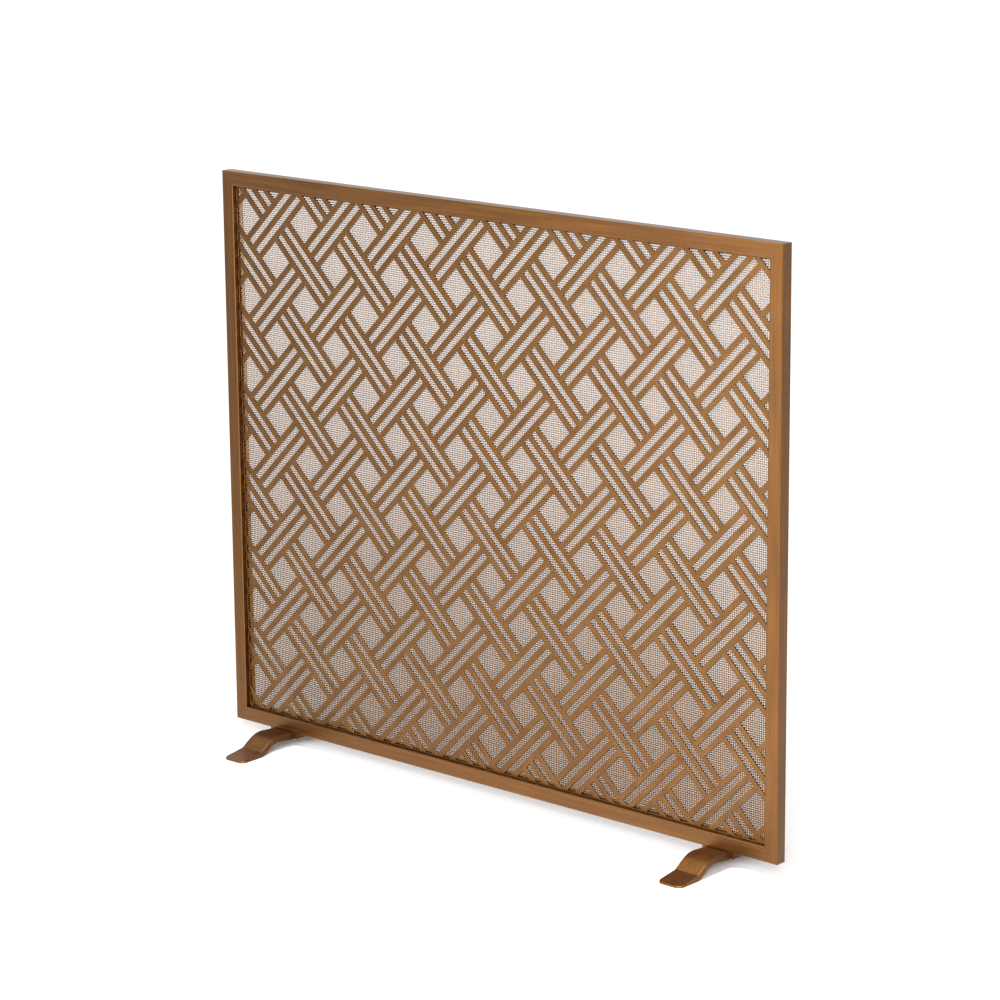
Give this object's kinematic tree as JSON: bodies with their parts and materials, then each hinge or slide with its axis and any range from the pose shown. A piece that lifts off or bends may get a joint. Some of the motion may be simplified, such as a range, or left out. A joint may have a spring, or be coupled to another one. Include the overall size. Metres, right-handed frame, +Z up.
{
  "type": "fireplace screen",
  "caption": "Flat free-standing fireplace screen: a mitred tube frame holds a diagonal basket-weave lattice backed by woven wire cloth, on S-curved bar feet.",
  "frame": {"origin": "on the floor, under the middle of the screen: halfway along its width and halfway between the front and rear tips of the feet", "axes": "+X to the right along the width, seen from the front; +Y from the front to the back; +Z up"},
  "size_m": [0.965, 0.22, 0.8115],
  "materials": {
    "frame_finish": "satin antique brass over steel tube, finely brushed along each member",
    "lattice_finish": "satin antique brass over cut steel sheet",
    "foot_finish": "satin antique brass over forged steel bar",
    "wire_cloth": "plain woven bronze-coloured wire cloth",
    "strip_finish": "antique brass over flat steel bar, dull",
    "weld_metal": "weld bead under the brass finish",
    "fastener_steel": "bronze-plated steel"
  },
  "bodies": {
    "root": {"bottom_rail": "frame_finish", "top_rail": "frame_finish", "left_stile": "frame_finish", "right_stile": "frame_finish", "lattice_panel": "lattice_finish", "lattice_tack_welds": "weld_metal", "spark_mesh": "wire_cloth", "mesh_retainer_bottom": "strip_finish", "mesh_retainer_top": "strip_finish", "mesh_retainer_left": "strip_finish", "mesh_retainer_right": "strip_finish", "retainer_screws": "fastener_steel", "left_foot_plate": "foot_finish", "left_foot_front_leg": "foot_finish", "left_foot_rear_leg": "foot_finish", "right_foot_plate": "foot_finish", "right_foot_front_leg": "foot_finish", "right_foot_rear_leg": "foot_finish", "foot_screws": "fastener_steel", "rivet_nuts": "fastener_steel"}
  },
  "joints": []
}
